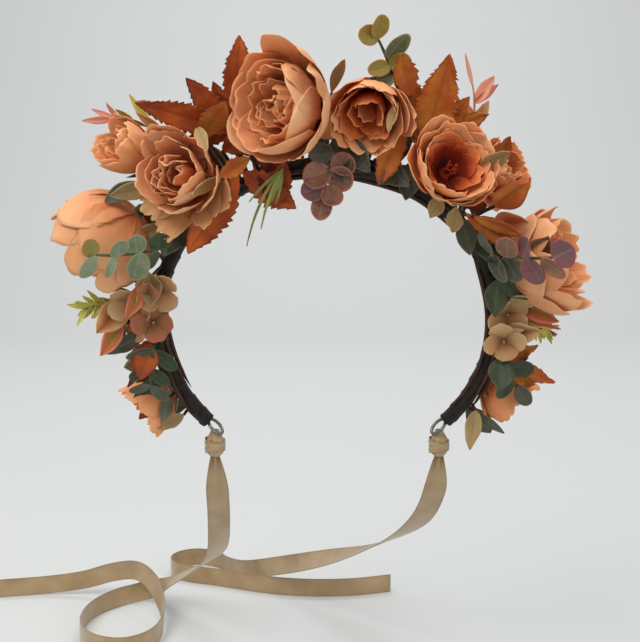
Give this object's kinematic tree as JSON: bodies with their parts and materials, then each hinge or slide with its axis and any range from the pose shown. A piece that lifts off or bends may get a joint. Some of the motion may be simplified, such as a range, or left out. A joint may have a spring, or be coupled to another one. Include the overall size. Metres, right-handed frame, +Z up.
{
  "type": "flower crown",
  "caption": "Autumn flower crown: an open wrapped-wire ring carrying cloth peonies, roses, maple leaves and eucalyptus, with a satin tie ribbon at each end.",
  "frame": {"origin": "middle of the wire ring, where the wearer's head passes through it", "axes": "+X to the right as seen from the front, -Y out of the wearer's forehead, +Z up; the ring leans back 68 degrees from level"},
  "size_m": [0.3859, 0.3428, 0.3658],
  "materials": {
    "wire": "satin",
    "floral_tape": "matt, waxed crepe",
    "satin_ribbon": "satin",
    "stem_green": "matt",
    "petal_peach": "matt cloth petal",
    "petal_pale": "matt cloth petal",
    "petal_deep": "matt cloth petal",
    "hydrangea_tan": "matt cloth petal",
    "lily_coral": "matt cloth petal",
    "leaf_rust": "matt printed cloth",
    "leaf_gold": "matt printed cloth",
    "leaf_grey_green": "matt printed cloth",
    "leaf_mauve": "matt printed cloth",
    "leaf_dark_green": "matt printed cloth",
    "sprig_pink": "matt cloth",
    "sprig_tan": "matt cloth",
    "sprig_yellow_green": "matt"
  },
  "bodies": {
    "crown_band": {"wire_front": "wire", "tape_front": "floral_tape", "top_peony": "petal_peach", "top_peony_stem": "stem_green", "top_rose": "petal_peach", "top_rose_stem": "stem_green", "open_rose": "petal_deep", "open_rose_stem": "stem_green", "back_peony": "petal_pale", "back_peony_stem": "stem_green", "ruffled_peony": "petal_pale", "ruffled_peony_stem": "stem_green", "side_bud": "petal_peach", "side_bud_stem": "stem_green", "maple_leaf_right": "leaf_rust", "maple_leaf_left": "leaf_rust", "maple_leaf_upright": "leaf_rust", "rust_leaf_temple": "leaf_rust", "rust_leaf_centre": "leaf_rust", "curled_leaf_right": "leaf_gold", "eucalyptus_top": "leaf_grey_green", "eucalyptus_centre": "leaf_mauve", "pink_sprig_right": "sprig_pink", "pointed_sprig_left": "sprig_tan", "grass_blades": "sprig_yellow_green", "tie_left": "satin_ribbon", "tie_right": "satin_ribbon"},
    "left_arm": {"wire_left": "wire", "tape_left": "floral_tape", "eyelet_left": "wire", "tie_knot_left": "satin_ribbon", "left_peony": "petal_pale", "left_peony_stem": "stem_green", "left_hydrangea": "hydrangea_tan", "left_end_rose": "petal_peach", "left_end_rose_stem": "stem_green", "maple_leaf_left_low": "leaf_rust", "eucalyptus_left": "leaf_grey_green", "eucalyptus_left_low": "leaf_dark_green", "needle_sprig_left": "sprig_yellow_green"},
    "right_arm": {"wire_right": "wire", "tape_right": "floral_tape", "eyelet_right": "wire", "tie_knot_right": "satin_ribbon", "right_peony": "petal_pale", "right_peony_stem": "stem_green", "right_hydrangea": "hydrangea_tan", "lily_buds": "lily_coral", "right_end_rose": "petal_peach", "right_end_rose_stem": "stem_green", "maple_leaf_right_low": "leaf_gold", "eucalyptus_right": "leaf_mauve", "eucalyptus_right_low": "leaf_dark_green", "needle_sprig_right": "sprig_yellow_green"}
  },
  "joints": [
    {"name": "left_arm_flex", "type": "hinge", "parent": "crown_band", "child": "left_arm", "pos_m": [-0.07621, -0.01648, 0.0408], "axis": [0, -0.9272, -0.3746], "range_deg": [-4, 8]},
    {"name": "right_arm_flex", "type": "hinge", "parent": "crown_band", "child": "right_arm", "pos_m": [0.07621, -0.01648, 0.0408], "axis": [0, 0.9272, 0.3746], "range_deg": [-4, 8]}
  ]
}
